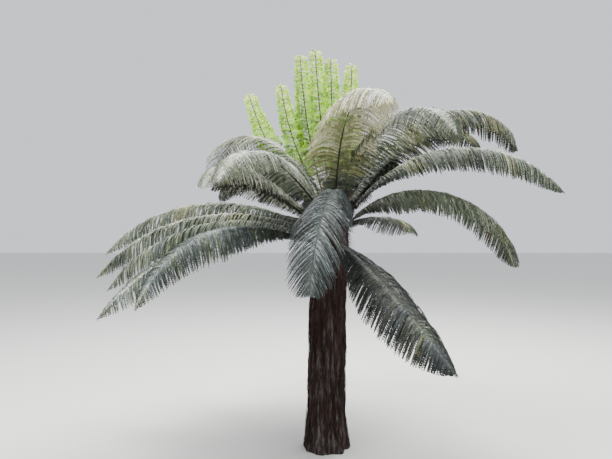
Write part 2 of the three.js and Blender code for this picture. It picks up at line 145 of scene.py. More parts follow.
# How unevenly leaflets and lobes stand: angles in degrees, and otherwise shares
PLACE_SPREAD = 0.08
SWEEP_SPREAD = 1.6
RAISE_SPREAD = 3.5
SAG_LESS = 0.12
SAG_MORE = 0.1
SHORTEST_LEAFLET = 0.9
LOBE_SWEEP_SPREAD = 5
LOBE_DROOP_SPREAD = 0.16
LOBE_REACH_SPREAD = (0.9, 1.06)

# A lobe's outline from its root to its tip and back: along, across and up, in units of its length and of its
# half width
LOBE_OUTLINE = np.array(
    [
        (0.0, -1.0, 0.0),
        (0.0, 1.0, 0.0),
        (0.65, 0.8, -0.1),
        (1.0, 0.1, -0.2),
        (0.65, -0.7, -0.1),
    ]
)
LOBE_FACES = np.array([(0, 1, 2), (0, 2, 4), (4, 2, 3)])

# Blade colours from dark to light: the cool ones, the warm ones and the blue ones, and then a brown
COOL = ["171a13", "303828", "535c47", "858c76", "c4c1b6"]
WARM = ["1e2010", "3f4227", "6b6e46", "97976a", "c8c4a4"]
BLUE = ["151918", "2e3735", "515b58", "808a87", "bbc1c0"]
TAN = "6b5a48"
BLADE_COLOURS = COOL + WARM + BLUE + [TAN]
USUAL_COLOUR = 2  # place of the usual colour in its list
SPRAY_NOISE = 0.4
LEAFLET_NOISE = 0.6  # against the noise of its sprays
RIDGE_HIGHLIGHT = 0.4  # painted highlight: how much lighter a leaflet's root is painted, where it arches up to the sky
RIDGE_DROP = 0.65  # what that painted highlight loses quickly
RIDGE_END = 0.45  # up to this share of the leaflet
RIDGE_SLOPE = 0.2  # and what it loses evenly over the whole leaflet, so that the hanging tip takes painted shade
WAVES = (1.3, 2.9, 5.3)  # how many waves of light and dark a frond has
WAVE_DRIFT = 0.5  # how far colours drift with them
HAND_DRIFT = 0.12  # and from its right to its left
CROWN_SHADE = 2.3  # painted shade: how much darker the leaflets in the middle of the crown are painted
SHADE_FADE = (0.06, 0.4)  # that painted shade fades between these shares of a frond
PATCH_WAVES = 0.26  # patches of warm and blue sprays: how slow waves set their edges
PATCH_NOISE = 0.09  # how leaflets blur them
SPRAY_BLUR = 0.2  # and how sprays do
BROWN_SHARE = 0.03  # share of brown sprays among the warm ones
BROWN_ROOT = 0.3  # at a leaflet's root they are rarer, by so much
SPRAYS = 7  # a side of a leaflet takes its colours in so many sprays
BLADE_ROUGHNESS = 0.5
BLADE_SHINE = 0.4
PIECE_TRIANGLES = 190000

# The shape of a frond, as in the solids. azimuth: compass direction in plan, degrees from +X towards +Y.
# swing: how far it turns sideways by the tip. rise, fall: elevation of the rib at the crown and at the tip.
# late: above 1 the bend comes nearer the tip. seat: height on the crown. Its looks, here alone. light: how
# light its colours are: how silvery it is, with painted highlight on fronds that face the light and painted
# shade on those that stand in shadow. warm: share of olive and straw sprays.
GROWN_KEYS = "name azimuth swing length rise fall late seat light warm".split()

# What else a frond may change
USUAL_FROND = {
    "full": 0.4,  # where along it the leaflets reach their full length
    "leaf": 1,  # length of the leaflets, against the usual one
    "sweep": 1,  # their sweep towards the tip, against the usual one
    "taper": 3.4,  # power of their shortening towards the tip: higher gives a blunter tip
    "base_sag": LEAFLET_SAG,  # how much they hang near the crown
    "sag": LEAFLET_SAG,  # how much they hang near the tip
    "crowd": 1,  # their number, against the usual one
    "wide": 1,  # reach of their lobes, against the spacing of the leaflets
    "ragged": 1,  # how unevenly they stand
    "ridge": 2,  # painted highlight and shade: how much lighter they are painted at their root, which faces the sky, than at their hanging tip
    "contrast": 0.45,  # painted light and shade: how much lighter their side towards the frond's foot, which faces the light, is painted than their other side
    "shade": 1,  # painted shade: how much darker the frond is painted towards the middle of the crown
    "blue": 0,  # share of blue-grey sprays
}


def grown(*values, **changes):
    return {**USUAL_FROND, **dict(zip(GROWN_KEYS, values)), **changes}


FRONDS = [
    grown(
        "right_long", 3, -31, 2.08, 57, -51, 1.16, 1.88, 0.3, 0.25,
        full=0.45, taper=4.5, wide=2.1, ridge=2.8, crowd=1.4, ragged=0.8, shade=0.6,
    ),
    grown(
        "right_back_high", 22, -28, 2.09, 57, -78, 2.4, 1.915, 0.4, 0.35,
        full=0.5, taper=7, wide=2.1, ridge=2.8, crowd=1.2,
    ),
    grown("right_back_mid", 36, -7, 2.02, 50, -48, 2.4, 1.88, -0.2, 0.5, full=0.5, wide=2.1, crowd=1.2),
    grown(
        "right_low", -11.5, 32, 1.84, 57, -72, 0.86, 1.82, 0.4, 0.3,
        full=0.2, taper=4.5, wide=2.4, ridge=2.4, crowd=1.4, ragged=0.8, shade=0.6,
    ),
    grown(
        "right_high", -37.5, -44, 1.97, 83, -43, 0.98, 1.915, 0.7, 0.3,
        contrast=0.8, wide=1.5, crowd=1.1, shade=1.3,
    ),
    grown(
        "front_high", -90, 19, 1.98, 66, -35, 1.36, 1.915, 1.5, 0.7,
        full=0.25, sag=2.6, ridge=-0.6, wide=2, shade=1.5,
    ),
    grown(
        "front", -88, -25, 1.82, 48, -82, 1.0, 1.85, -0.4, 0.02,
        full=0.3, leaf=0.95, taper=6, base_sag=5, sag=1.4, sweep=0.78,
        ridge=0.8, contrast=1, wide=2.4, crowd=1.5, blue=1, shade=0.4,
    ),
    grown(
        "front_right_low", -76, 12, 1.99, 19, -32.5, 0.32, 1.69, -1.5, 0.12,
        full=0.5, sag=3.2, ridge=1.4, wide=4, crowd=2, ragged=1.1, blue=0.35,
    ),
    grown(
        "left_high", 158, -28, 1.86, 68, -73, 1.6, 1.88, 1.2, 0.2,
        full=0.25, sag=1.8, ridge=2.4, wide=1.2,
    ),
    grown(
        "left_front_high", 227, 32, 1.85, 44, -41, 1.4, 1.88, 1.5, 0.12,
        full=0.45, leaf=0.9, ridge=2.2, wide=1.2, ragged=1.3, shade=0.7,
    ),
    grown(
        "left_front_mid", 221, 37, 1.76, 24, -47, 3.4, 1.86, 1.8, 0.2,
        full=0.6, leaf=0.85, ridge=1.4, wide=1.1, shade=0.5,
    ),
    grown("left_inner", 208, 42, 1.35, 28, -45, 3.5, 1.84, -1.6, 0.5, full=0.65, leaf=0.75, wide=2),
    grown("left_long", 171, 13, 1.99, 25, -50, 1.4, 1.8, 0.6, 0.2, sag=3, wide=1.3, crowd=1.3, ragged=1.4),
    grown("left_mid", 182, 10, 1.99, 22, -52, 1.25, 1.78, 0.5, 0.2, sag=3, wide=1.3, crowd=1.3, ragged=1.4),
    grown(
        "left_low", 190, -2, 1.91, 24, -56, 1.15, 1.735, 0.5, 0.12,
        sag=3, wide=1.3, crowd=1.3, ragged=1.4, blue=0.2,
    ),
    grown(
        "left_front_long", 202, 15, 2.0, 18, -49, 0.97, 1.725, 0.5, 0.1,
        leaf=0.9, sag=3, wide=1.4, crowd=1.3, ragged=1.4, blue=0.4,
    ),
    grown(
        "left_front_low", 215, 23, 1.96, 16, -61, 1.7, 1.705, 0.3, 0.06,
        leaf=0.85, sag=3, wide=1.5, crowd=1.3, ragged=1.4, blue=0.6,
    ),
    grown("back_right", 64, 6, 2.0, 60, -58, 1.5, 1.895, -0.4, 0.2, full=0.2, wide=2.4, crowd=0.8),
    grown("back_mid_right", 79, 5, 2.05, 44, -54, 1.4, 1.865, -0.6, 0.4, full=0.2, wide=2.4, crowd=0.8),
    grown("back", 93, -6, 1.95, 38, -60, 1.2, 1.85, -0.6, 0.15, full=0.2, wide=3.2, crowd=0.8, shade=0.8),
    grown(
        "back_mid_left", 111, 4, 2.0, 46, -56, 1.5, 1.87, -0.2, 0.15,
        full=0.2, wide=3.2, crowd=0.8, shade=0.6,
    ),
    grown(
        "back_left", 125, 8, 2.02, 51, -60, 1.5, 1.84, -0.1, 0.2,
        full=0.2, wide=2.4, crowd=0.8, shade=0.5,
    ),
    grown("back_right_low", 57, 8, 1.86, 34, -14, 0.36, 1.8, -0.3, 0.3, full=0.6, leaf=0.8, wide=1.7),
    grown("back_low", 92, -4, 1.9, 6, -60, 1.0, 1.72, -0.4, 0.1, wide=1.8, crowd=0.8),
    grown("back_left_low", 128, -5, 1.9, 22, -42, 1.1, 1.78, 0.1, 0.2, wide=2, crowd=0.8, shade=0.5),
    grown("left_back_low", 152, 6, 1.95, 22, -46, 1.2, 1.77, 0.1, 0.35, wide=2, crowd=0.8, shade=0.5),
]


# Small tools


def srgb(text):
    """Linear RGBA of a colour written as six hex digits."""
    parts = [int(text[i : i + 2], 16) / 255 for i in (0, 2, 4)]
    return [p / 12.92 if p <= 0.04045 else ((p + 0.055) / 1.055) ** 2.4 for p in parts] + [1.0]


def material(name, colour, roughness=0.7, shine=0.25):
    mat = bpy.data.materials.new(name)
    mat.use_nodes = True
    shader = mat.node_tree.nodes["Principled BSDF"]
    shader.inputs["Base Color"].default_value = srgb(colour)
    shader.inputs["Roughness"].default_value = roughness
    shader.inputs["Specular IOR Level"].default_value = shine
    return mat


def piece(name, points, faces, mat, slot, nodes, smooth=False):
    """A joined mesh that stands for CAD nodes and rides on the plant."""
    mesh = bpy.data.meshes.new(name)
    corners = faces.shape[1]
    mesh.vertices.add(len(points))
    mesh.vertices.foreach_set("co", points.astype(np.float32).ravel())
    mesh.loops.add(faces.size)
    mesh.loops.foreach_set("vertex_index", faces.astype(np.int32).ravel())
    mesh.polygons.add(len(faces))
    mesh.polygons.foreach_set("loop_start", np.arange(0, faces.size, corners, dtype=np.int32))
    mesh.update(calc_edges=True)
    mesh.polygons.foreach_set("use_smooth", np.full(len(faces), smooth))
    mesh.materials.append(mat)
    obj = bpy.data.objects.new(name, mesh)
    bpy.context.scene.collection.objects.link(obj)
    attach(obj, "root")
    if nodes:
        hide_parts(*nodes)


def lerp(a, b, t):
    return a + (b - a) * t


def smoothstep(x, low, high):
    t = np.clip((x - low) / (high - low), 0, 1)
    return t * t * (3 - 2 * t)


def unit(v):
    return v / np.maximum(np.linalg.norm(v, axis=-1, keepdims=True), 1e-9)


def dot(a, b):
    return (a * b).sum(-1, keepdims=True)


UP = np.array([0.0, 0.0, 1.0])


# Trunk rule, as in the solids


def trunk_centre(z):
    z = np.asarray(z, float)
    return np.stack([TRUNK_LEAN * (z / TRUNK_HEIGHT) ** TRUNK_BEND, np.zeros_like(z), z], -1)


def trunk_radius(z):
    flare = (FOOT_RADIUS - TRUNK_RADIUS) * np.exp(-z / FLARE_HEIGHT)
    over = np.maximum(0, (z - DOME_START) / (TRUNK_HEIGHT - DOME_START))
    return (TRUNK_RADIUS + flare) * np.sqrt(np.maximum(0, 1 - over**2))


def trunk_lobes(angle, z):
    """The trunk's radius at an angle, against its usual one at that height."""
    foot = np.exp(-z / FLARE_HEIGHT)
    wide = THREE_LOBES * np.sin(3 * angle + z / THREE_LOBES_TURN)
    narrow = FIVE_LOBES * np.sin(5 * angle - z / FIVE_LOBES_TURN)
    return 1 + (wide + narrow) + FOOT_LOBES * foot * np.cos(7 * angle)


def dome_height(out):
    return DOME_START + (TRUNK_HEIGHT - DOME_START) * math.sqrt(1 - (out / TRUNK_RADIUS) ** 2)


# The shape of a young frond, in the same way. turn: degrees that its blade is turned about its stalk.
# out: how far from the trunk's middle it starts. bare: share of its length without leaflets.
YOUNG_KEYS = "name azimuth length rise fall out turn bare".split()
USUAL_YOUNG = {"swing": 0, "late": 1, "curl": YOUNG_CURL, "wide": 1, "ragged": 1}


def young(*values):
    spec = {**USUAL_YOUNG, **dict(zip(YOUNG_KEYS, values))}
    return {**spec, "seat": dome_height(spec["out"]) - SEAT_SINK}


YOUNG = [
    young("far_left", 145, 1.54, 34, 74, 0.062, 40, 0.42),
    young("left", 142, 1.39, 46.5, 83.5, 0.024, 35, 0.3),
    young("mid_left", 124, 1.65, 60, 87, 0.062, 20, 0.3),
    young("middle", 116, 1.61, 72, 83, 0.042, 10, 0.27),
    young("mid_right", 93, 1.57, 71, 81, 0.056, 0, 0.27),
    young("right", 35, 1.38, 79, 91, 0.048, -35, 0.25),
]
FROND_NODES = [f"frond_{f['name']}_{half}" for f in FRONDS for half in ("base", "tip")]
YOUNG_NODES = [f"young_{f['name']}" for f in YOUNG]


# Frond rule, as in the solids


class Line:
    """A rib's points and axes. up is the blade's upper side, side its right."""

    STEPS = 120

    def __init__(self, spec):
        s = np.arange(self.STEPS + 1) / self.STEPS
        heading = math.radians(spec["azimuth"])
        reach = spec.get("out", trunk_radius(spec["seat"]) - SEAT_SINK)
        start = trunk_centre(spec["seat"]) + reach * np.array([math.cos(heading), math.sin(heading), 0])
        curl = spec.get("curl", 0) * smoothstep(s, 1 - 2 * YOUNG_CURL_SHARE, 1 + YOUNG_CURL_SHARE / 2)
        climb = np.radians(lerp(spec["rise"], spec["fall"], s ** spec["late"]) - curl)[:, None]
        course = heading + np.radians(spec["swing"]) * s
        flat = np.stack([np.cos(course), np.sin(course), np.zeros_like(s)], -1)
        turn = math.radians(spec.get("turn", 0))
        self.along = flat * np.cos(climb) + UP * np.sin(climb)
        level = -flat * np.sin(climb) + UP * np.cos(climb)
        self.up = level * math.cos(turn) - np.cross(self.along, level) * math.sin(turn)
        self.side = np.cross(self.along, self.up)
        steps = self.along * spec["length"] / self.STEPS
        self.at = start + np.concatenate([np.zeros((1, 3)), np.cumsum(steps[:-1], 0)])

    def sample(self, s):
        """Point, along, up and side at shares s of the length."""
        i = np.clip((s * self.STEPS).astype(int), 0, self.STEPS - 1)
        t = (s * self.STEPS - i)[:, None]
        mixed = [lerp(rows[i], rows[i + 1], t) for rows in (self.at, self.along, self.up, self.side)]
        return mixed[0], unit(mixed[1]), unit(mixed[2]), unit(mixed[3])


def leaflet_share(u, full, taper):
    """Length of leaflets along a frond: short at the foot, full in the middle, short at the tip."""
    rising = lerp(FIRST_SHARE, 1, smoothstep(u, 0, full))
    falling = 1 - np.maximum(0, (u - TAPER_START) / (1 - TAPER_START)) ** taper
    return np.maximum(SHORTEST_SHARE, rising * falling)


def young_share(u):
    """Length of young leaflets: they grow from 0.4 at the foot, and shrink by 0.3 near the top."""
    return 0.4 + 0.6 * smoothstep(u, -0.1, 0.3) - 0.3 * smoothstep(u, 0.6, 1)


class Leaflets:
    """Lines of many leaflets: points and directions at even steps, and what their lobes need."""

    STEPS = 10

    def __init__(self, root, along, up, side, hand, sweep, lift, length, sag, curl, pitch, share, wide):
        n = len(root)
        raise_angle = np.radians(lift)[:, None]
        across = side * hand[:, None] * np.cos(raise_angle) + up * np.sin(raise_angle)
        leaving = along * np.cos(sweep)[:, None] + across * np.sin(sweep)[:, None]
        down = np.repeat(-UP[None], n, 0)
        down = down - (1 - SAG_ALONG) * dot(down, along) * along
        t = np.arange(self.STEPS + 1) / self.STEPS
        heading = unit(leaving[:, None] + down[:, None] * (sag[:, None] * t)[..., None])
        back = unit(-along[:, None] + dot(along[:, None], heading) * heading)
        bend = (curl[:, None] * t**CURL_POWER)[..., None]
        self.heading = heading * np.cos(bend) + back * np.sin(bend)
        steps = self.heading * (length / self.STEPS)[:, None, None]
        self.at = root[:, None] + np.concatenate([np.zeros((n, 1, 3)), np.cumsum(steps[:, :-1], 1)], 1)
        self.length, self.share, self.hand, self.rib = length, share, hand, along
        curled = curl.max() > 0
        middle = self.heading[:, 1 if curled else self.STEPS // 2]
        clear = np.linalg.norm(along - dot(along, middle) * middle, axis=-1)
        self.half_width = np.minimum(LOBE_REACH * wide * pitch * clear, LOBE_LIMIT * length)
        self.tip_taper = YOUNG_TIP_TAPER if curled else TIP_TAPER
        self.first_lobe = YOUNG_FIRST_LOBE if curled else FIRST_LOBE

    def sample(self, which, t):
        i = np.clip((t * self.STEPS).astype(int), 0, self.STEPS - 1)
        f = (t * self.STEPS - i)[:, None]
        at = lerp(self.at[which, i], self.at[which, i + 1], f)
        return at, unit(lerp(self.heading[which, i], self.heading[which, i + 1], f))


def tilted(costa, wide, face):
    """Leaflets turn their faces part of the way up to the sky, like slats."""
    sky = UP - dot(UP, costa) * costa
    wanted = np.arctan2(dot(sky, wide), dot(sky, face))
    limit = math.radians(TILT_LIMIT)
    turn = np.clip(wanted * TILT_SHARE, -limit, limit) * np.linalg.norm(sky, axis=-1, keepdims=True)
    return wide * np.cos(turn) - face * np.sin(turn), face * np.cos(turn) + wide * np.sin(turn)


def lobes(leaflets, spacing):
    """Points of every lobe, with its leaflet, its share along it and its side of it."""
    counts = np.maximum(LEAST_LOBES, np.round(leaflets.length / spacing)).astype(int)
    which = np.repeat(np.arange(len(counts)), counts)
    order = np.arange(len(which)) - np.repeat(np.cumsum(counts) - counts, counts)
    t = (order + leaflets.first_lobe) / (counts[which] + END_GAP)
    which, t = np.tile(which, 2), np.tile(t, 2)
    edge = np.repeat([1.0, -1.0], len(which) // 2)[:, None]
    at, costa = leaflets.sample(which, t)
    rib = leaflets.rib[which]
    wide = unit(rib - dot(rib, costa) * costa)
    face = np.cross(wide, costa) * -leaflets.hand[which][:, None]
    wide, face = tilted(costa, wide, face)
    roll = np.radians(rng.normal(0, LOBE_ROLL, len(counts)))[which][:, None]
    wide, face = wide * np.cos(roll) - face * np.sin(roll), face * np.cos(roll) + wide * np.sin(roll)
    degrees = lerp(LOBE_SWEEP_BASE, LOBE_SWEEP_TIP, t**2) + rng.normal(0, LOBE_SWEEP_SPREAD, len(t))
    sweep = np.radians(degrees)[:, None]
    droop = (LOBE_DROOP + rng.normal(0, LOBE_DROOP_SPREAD, len(t)))[:, None]
    outward = unit(costa * np.cos(sweep) + wide * edge * np.sin(sweep) - face * droop)
    normal = unit(face - dot(face, outward) * outward)
    rising = lerp(ROOT_REACH, 1, smoothstep(t, 0, ROOT_END))
    past = np.maximum(0, (t - TIP_START) / (1 - TIP_START))
    falling = 1 - leaflets.tip_taper * past**TIP_POWER
    profile = rising * falling
    reach = leaflets.half_width[which] * profile * rng.uniform(*LOBE_REACH_SPREAD, len(t))
    width = (leaflets.length / counts)[which] * LOBE_WIDTH
    shape = LOBE_OUTLINE[None]
    points = (
        at[:, None]
        + outward[:, None] * (shape[..., 0:1] * reach[:, None, None])
        + costa[:, None] * (shape[..., 1:2] * width[:, None, None])
        + normal[:, None] * (shape[..., 2:3] * width[:, None, None])
    )
    return points, which, t, edge[:, 0]


def tubes(at, axis, radii, sides):
    """Thin tubes along many lines at once: at and axis are lines by points by 3, radii lines by points."""
    lines, rows = at.shape[:2]
    guide = np.where(np.abs(axis[..., 2:3]) > 0.9, [1.0, 0.0, 0.0], UP)
    first = unit(np.cross(axis, guide))
    second = np.cross(axis, first)
    angle = np.arange(sides) * 2 * math.pi / sides
    ring = first[..., None, :] * np.cos(angle)[:, None] + second[..., None, :] * np.sin(angle)[:, None]
    points = at[..., None, :] + ring * radii[..., None, None]
    i = np.arange(lines)[:, None, None] * rows * sides
    j = np.arange(rows - 1)[None, :, None] * sides
    k = np.arange(sides)[None, None]
    after = (k + 1) % sides
    faces = np.stack([i + j + k, i + j + after, i + j + sides + after, i + j + sides + k], -1)
    return points.reshape(-1, 3), faces.reshape(-1, 4)


def join(parts):
    """One list of points and faces from several."""
    offsets = np.cumsum([0] + [len(p) for p, _ in parts[:-1]])
    faces = [f + offset for (_, f), offset in zip(parts, offsets)]
    return np.concatenate([p for p, _ in parts]), np.concatenate(faces)


# Growing


def grow_leaflets(spec, line, pairs, bare, end, length, share, sag, sweep, curl, root_radius):
    """The leaflets of one frond, both hands."""
    u = np.tile((np.arange(pairs) + 0.5) / pairs, 2)
    hand = np.repeat([1.0, -1.0], pairs)
    n = 2 * pairs
    ragged = spec["ragged"]
    jitter = rng.normal(0, PLACE_SPREAD, n) / pairs
    s = lerp(bare, end, u + jitter)
    at, along, up, side = line.sample(s)
    beside = side * (hand * root_radius * ROOT_OUT)[:, None]
    above = up * (root_radius * ROOT_UP * (1 - s))[:, None]
    root = at + beside + above
    return Leaflets(
        root=root,
        along=along,
        up=up,
        side=side,
        hand=hand,
        sweep=np.radians(sweep(u) + rng.normal(0, SWEEP_SPREAD * ragged, n)),
        lift=np.full(n, LEAFLET_RAISE) + rng.normal(0, RAISE_SPREAD * ragged, n),
        length=length * share(u) * rng.uniform(SHORTEST_LEAFLET, 1.0, n),
        sag=sag(u) * rng.uniform(1 - SAG_LESS * ragged, 1 + SAG_MORE * ragged, n),
        curl=curl(u),
        pitch=spec["length"] * (end - bare) / pairs,
        share=s,
        wide=spec["wide"],
    )


def spread(count, which, t, edge, deviation):
    """Two random numbers for each spray, given to all its lobes: one about 0, and one from 0 to 1."""
    spray = (np.minimum(t, 0.999) * SPRAYS).astype(int)
    own = which, (edge > 0).astype(int), spray
    noise = rng.normal(0, deviation, (count, 2, SPRAYS))
    noise = noise + rng.normal(0, deviation * LEAFLET_NOISE, (count, 1, 1))
    chance = rng.random((count, 2, SPRAYS))
    return noise[own], chance[own]


def slow_waves(s):
    """A smooth random change along a frond, about -1 to 1."""
    waves = [np.sin(2 * math.pi * (turns * s + rng.random())) for turns in WAVES]
    return sum(waves) / 2


def patch_heights(s):
    """A number for each leaflet, about 0 to 1, which changes slowly along a frond."""
    return 0.5 + PATCH_WAVES * slow_waves(s) + rng.normal(0, PATCH_NOISE, len(s))


def blade_kinds(spec, leaflets, which, t, edge):
    """The colour of each lobe, as a number in BLADE_COLOURS."""
    s = leaflets.share[which]
    count = len(leaflets.length)
    noise, chance = spread(count, which, t, edge, SPRAY_NOISE)
    drift = slow_waves(leaflets.share) + leaflets.hand * HAND_DRIFT
    # Painted shade: leaflets near a frond's foot, in the middle of the crown, are dealt darker colours
    shade = CROWN_SHADE * spec["shade"] * (1 - smoothstep(s, *SHADE_FADE))
    # Painted highlight on each leaflet's root, which arches up to the sky, and painted shade towards its
    # hanging tip
    ridge = spec["ridge"] * (RIDGE_HIGHLIGHT - RIDGE_DROP * smoothstep(t, 0, RIDGE_END) - RIDGE_SLOPE * t)
    # Painted light and shade on each leaflet's sides: lighter towards the frond's foot, darker on the other
    # side; the frond's light value also carries painted highlight and shade for the whole frond
    value = USUAL_COLOUR + spec["light"] - edge * spec["contrast"] - shade + ridge
    value = value + WAVE_DRIFT * drift[which] + noise
    level = np.clip(np.round(value), 0, len(COOL) - 1).astype(int)
    patches = [patch_heights(leaflets.share) for _ in range(2)]
    warm = spec["warm"] > patches[0][which] + SPRAY_BLUR * (chance - 0.5)
    blue = ~warm & (spec["blue"] > patches[1][which])
    kinds = level + np.where(warm, len(COOL), 0) + np.where(blue, len(COOL) + len(WARM), 0)
    brown = warm & (chance < BROWN_SHARE * (BROWN_ROOT + t)) & (level < len(COOL) - 1)
    return np.where(brown, len(BLADE_COLOURS) - 1, kinds)


def lobe_pieces(name, points_of_all, kinds_of_all, colours, slot, nodes):
    """Joined lobes of each colour, in pieces that stay small enough."""
    most = PIECE_TRIANGLES // len(LOBE_FACES)
    points, kinds = np.concatenate(points_of_all), np.concatenate(kinds_of_all)
    for index, colour in enumerate(colours):
        chosen = points[kinds == index]
        mat = material(f"{name}_{index + 1}", colour, BLADE_ROUGHNESS, BLADE_SHINE)
        for part, first in enumerate(range(0, len(chosen), most)):
            some = chosen[first : first + most]
            faces = LOBE_FACES[None] + len(LOBE_OUTLINE) * np.arange(len(some))[:, None, None]
            full_name = f"{name}_{index + 1}_{part + 1}"
            piece(full_name, some.reshape(-1, 3), faces.reshape(-1, 3), mat, slot, nodes)


RIB_POWER = 1.4
STALK_END = 0.09  # a rib is as thick as a stalk at its foot, and this far along no more
RIB_DROP = 0.8  # ribs lie below the roots of their leaflets by so much of their radius
RIB_SIDES = 8
RIB_ROWS = 64
RIB_CUTS = [0, 0.2, 0.45, 1]  # a rib's colours change at these shares
RIB_COLOURS = ["1c1714", "302b25", "55544a"]
COSTA_STOPS = np.array([0, 3, 6])  # steps of a leaflet that its rib passes
COSTA_TAPER = np.array([1.0, 0.7, 0.3])
THIN_SIDES = 3


def rib_radii(s):
    rib = RIB_TIP_RADIUS + (RIB_RADIUS - RIB_TIP_RADIUS) * (1 - s) ** RIB_POWER
    return rib + (STALK_RADIUS - RIB_RADIUS) * (1 - smoothstep(s, 0, STALK_END))


all_points, all_kinds, costas = [], [], []
ribs = [[] for _ in RIB_COLOURS]
for spec in FRONDS:
    line = Line(spec)
    leaflets = grow_leaflets(
        spec,
        line,
        int(LEAFLET_PAIRS * spec["crowd"]),
        BARE_SHARE,
        1.0,
        LEAFLET_LENGTH * spec["leaf"],
        lambda u: leaflet_share(u, spec["full"], spec["taper"]),
        lambda u: lerp(spec["base_sag"], spec["sag"], smoothstep(u, *SAG_CHANGE)),
        lambda u: lerp(SWEEP_BASE, SWEEP_TIP, u) * lerp(1, spec["sweep"], smoothstep(u, *SWEEP_CHANGE)),
        lambda u: 0 * u,
        RIB_RADIUS,
    )
    points, which, t, edge = lobes(leaflets, LOBE_SPACING)
    all_points.append(points)
    all_kinds.append(blade_kinds(spec, leaflets, which, t, edge))
    radii = COSTA_RADIUS * ((leaflets.length / LEAFLET_LENGTH) ** 0.5)[:, None] * COSTA_TAPER
    at, heading = leaflets.at[:, COSTA_STOPS], leaflets.heading[:, COSTA_STOPS]
    costas.append(tubes(at, heading, radii, THIN_SIDES))
    for group, low, high in zip(ribs, RIB_CUTS, RIB_CUTS[1:]):
        s = np.linspace(low, high, int(RIB_ROWS * (high - low)) + 2)
        at, along, up, side = line.sample(s)
        radii = rib_radii(s)
        at = at - up * (radii * RIB_DROP)[:, None]
        group.append(tubes(at[None], along[None], radii[None], RIB_SIDES))

lobe_pieces("blades", all_points, all_kinds, BLADE_COLOURS, "frond", FROND_NODES)
piece("leaflet_ribs", *join(costas), material("leaflet_rib", "5a6059"), "frond", FROND_NODES, True)
for number, (group, colour) in enumerate(zip(ribs, RIB_COLOURS)):
    name = f"ribs_{number + 1}"
    piece(name, *join(group), material(name, colour, 0.6), "frond", FROND_NODES, True)

# Young fronds

YOUNG_COLOURS = ["34500c", "5a8410", "80b414", "a8dc28", "dcf464"]
YOUNG_LOBE_SPACING = 0.0085
YOUNG_ROWS = 90
YOUNG_COIL = 1.2  # the coil at the top is thicker than the stalk by this
YOUNG_WIDE = 1.85  # lobes of young leaflets reach so much further
YOUNG_TOP_WIDE = 1.2  # and so much near the top
YOUNG_LAST = 0.965  # small curled leaflets run on round the coil up to here
YOUNG_NARROWING = (0.5, 0.95)  # lobes narrow between these shares of a young frond
YOUNG_SHRINKING = (0.88, 1)  # and leaflets shrink between these shares of its row
YOUNG_SHRINK = 0.75
YOUNG_CURLING = (0.1, 0.7)  # their tips begin to turn back, and are turned back in full
YOUNG_FOOT_COLOUR = -0.6  # below 0, so that the darkest colour reaches some way up
YOUNG_COLOUR_RISE = 4.5
# Painted light and shade: how much lighter the side of a young leaflet towards the frond's foot is than its
# other side
YOUNG_SIDE_SHADING = 0.4
YOUNG_NOISE = 0.5
YOUNG_COSTA_RADIUS = 0.002
YOUNG_COSTA_STOPS = np.arange(0, Leaflets.STEPS + 1, 2)


def young_sweep(u):
    return YOUNG_SWEEP + 0 * u


def young_curl(u):
    return LEAFLET_CURL * smoothstep(u, *YOUNG_CURLING)


all_points, all_kinds, costas, stalks, tips = [], [], [], [], []
curl_start = 1 - 2 * YOUNG_CURL_SHARE
for spec in YOUNG:
    line = Line(spec)
    bare = spec["bare"]
    reach = (YOUNG_LAST - bare) / (curl_start - bare)
    leaflets = grow_leaflets(
        spec,
        line,
        YOUNG_PAIRS,
        bare,
        YOUNG_LAST,
        YOUNG_LEAFLET_LENGTH,
        lambda u: young_share(u * reach) * (1 - YOUNG_SHRINK * smoothstep(u, *YOUNG_SHRINKING)),
        lambda u: YOUNG_SAG + 0 * u,
        young_sweep,
        young_curl,
        YOUNG_RIB_RADIUS,
    )
    near_top = smoothstep(leaflets.share, *YOUNG_NARROWING)
    leaflets.half_width *= lerp(YOUNG_WIDE, YOUNG_TOP_WIDE, near_top)
    points, which, t, edge = lobes(leaflets, YOUNG_LOBE_SPACING)
    noise, _ = spread(len(leaflets.length), which, t, edge, YOUNG_NOISE)
    # Painted light on each young leaflet's side towards the frond's foot, painted shade on its other side
    value = YOUNG_FOOT_COLOUR - edge * YOUNG_SIDE_SHADING + YOUNG_COLOUR_RISE * leaflets.share[which] + noise
    all_points.append(points)
    all_kinds.append(np.clip(np.round(value), 0, len(YOUNG_COLOURS) - 1).astype(int))
    radii = YOUNG_COSTA_RADIUS * np.linspace(1, 0.3, len(YOUNG_COSTA_STOPS))
    radii = np.repeat(radii[None], len(leaflets.length), 0)
    at, heading = leaflets.at[:, YOUNG_COSTA_STOPS], leaflets.heading[:, YOUNG_COSTA_STOPS]
    costas.append(tubes(at, heading, radii, THIN_SIDES))
    s = np.linspace(0, 1, YOUNG_ROWS)
    at, along, up, side = line.sample(s)
    radii = YOUNG_RIB_RADIUS * (1 - YOUNG_RIB_TAPER * s)
    cut = int(YOUNG_ROWS * curl_start)
    stalks.append(tubes(at[None, : cut + 1], along[None, : cut + 1], radii[None, : cut + 1], RIB_SIDES))
    tips.append(tubes(at[None, cut:], along[None, cut:], radii[None, cut:] * YOUNG_COIL, RIB_SIDES))

lobe_pieces("young_blades", all_points, all_kinds, YOUNG_COLOURS, "young_frond", YOUNG_NODES)
rib_green = material("young_leaflet_rib", "93a04a")
piece("young_leaflet_ribs", *join(costas), rib_green, "young_frond", YOUNG_NODES, True)
piece("young_stalks", *join(stalks), material("young_stalk", "3a3612"), "young_frond", YOUNG_NODES, True)
piece("young_tips", *join(tips), material("young_tip", "7a5638"), "young_frond", YOUNG_NODES, True)

# Trunk

SIDES = 176
RINGS = 250
RING_POWER = 0.75  # rings crowd towards the dome
TOP_GAP = 0.0001
LEAST_RADIUS = 0.001
FULL_RELIEF_RADIUS = 0.05  # thinner than this, the dome's relief fades

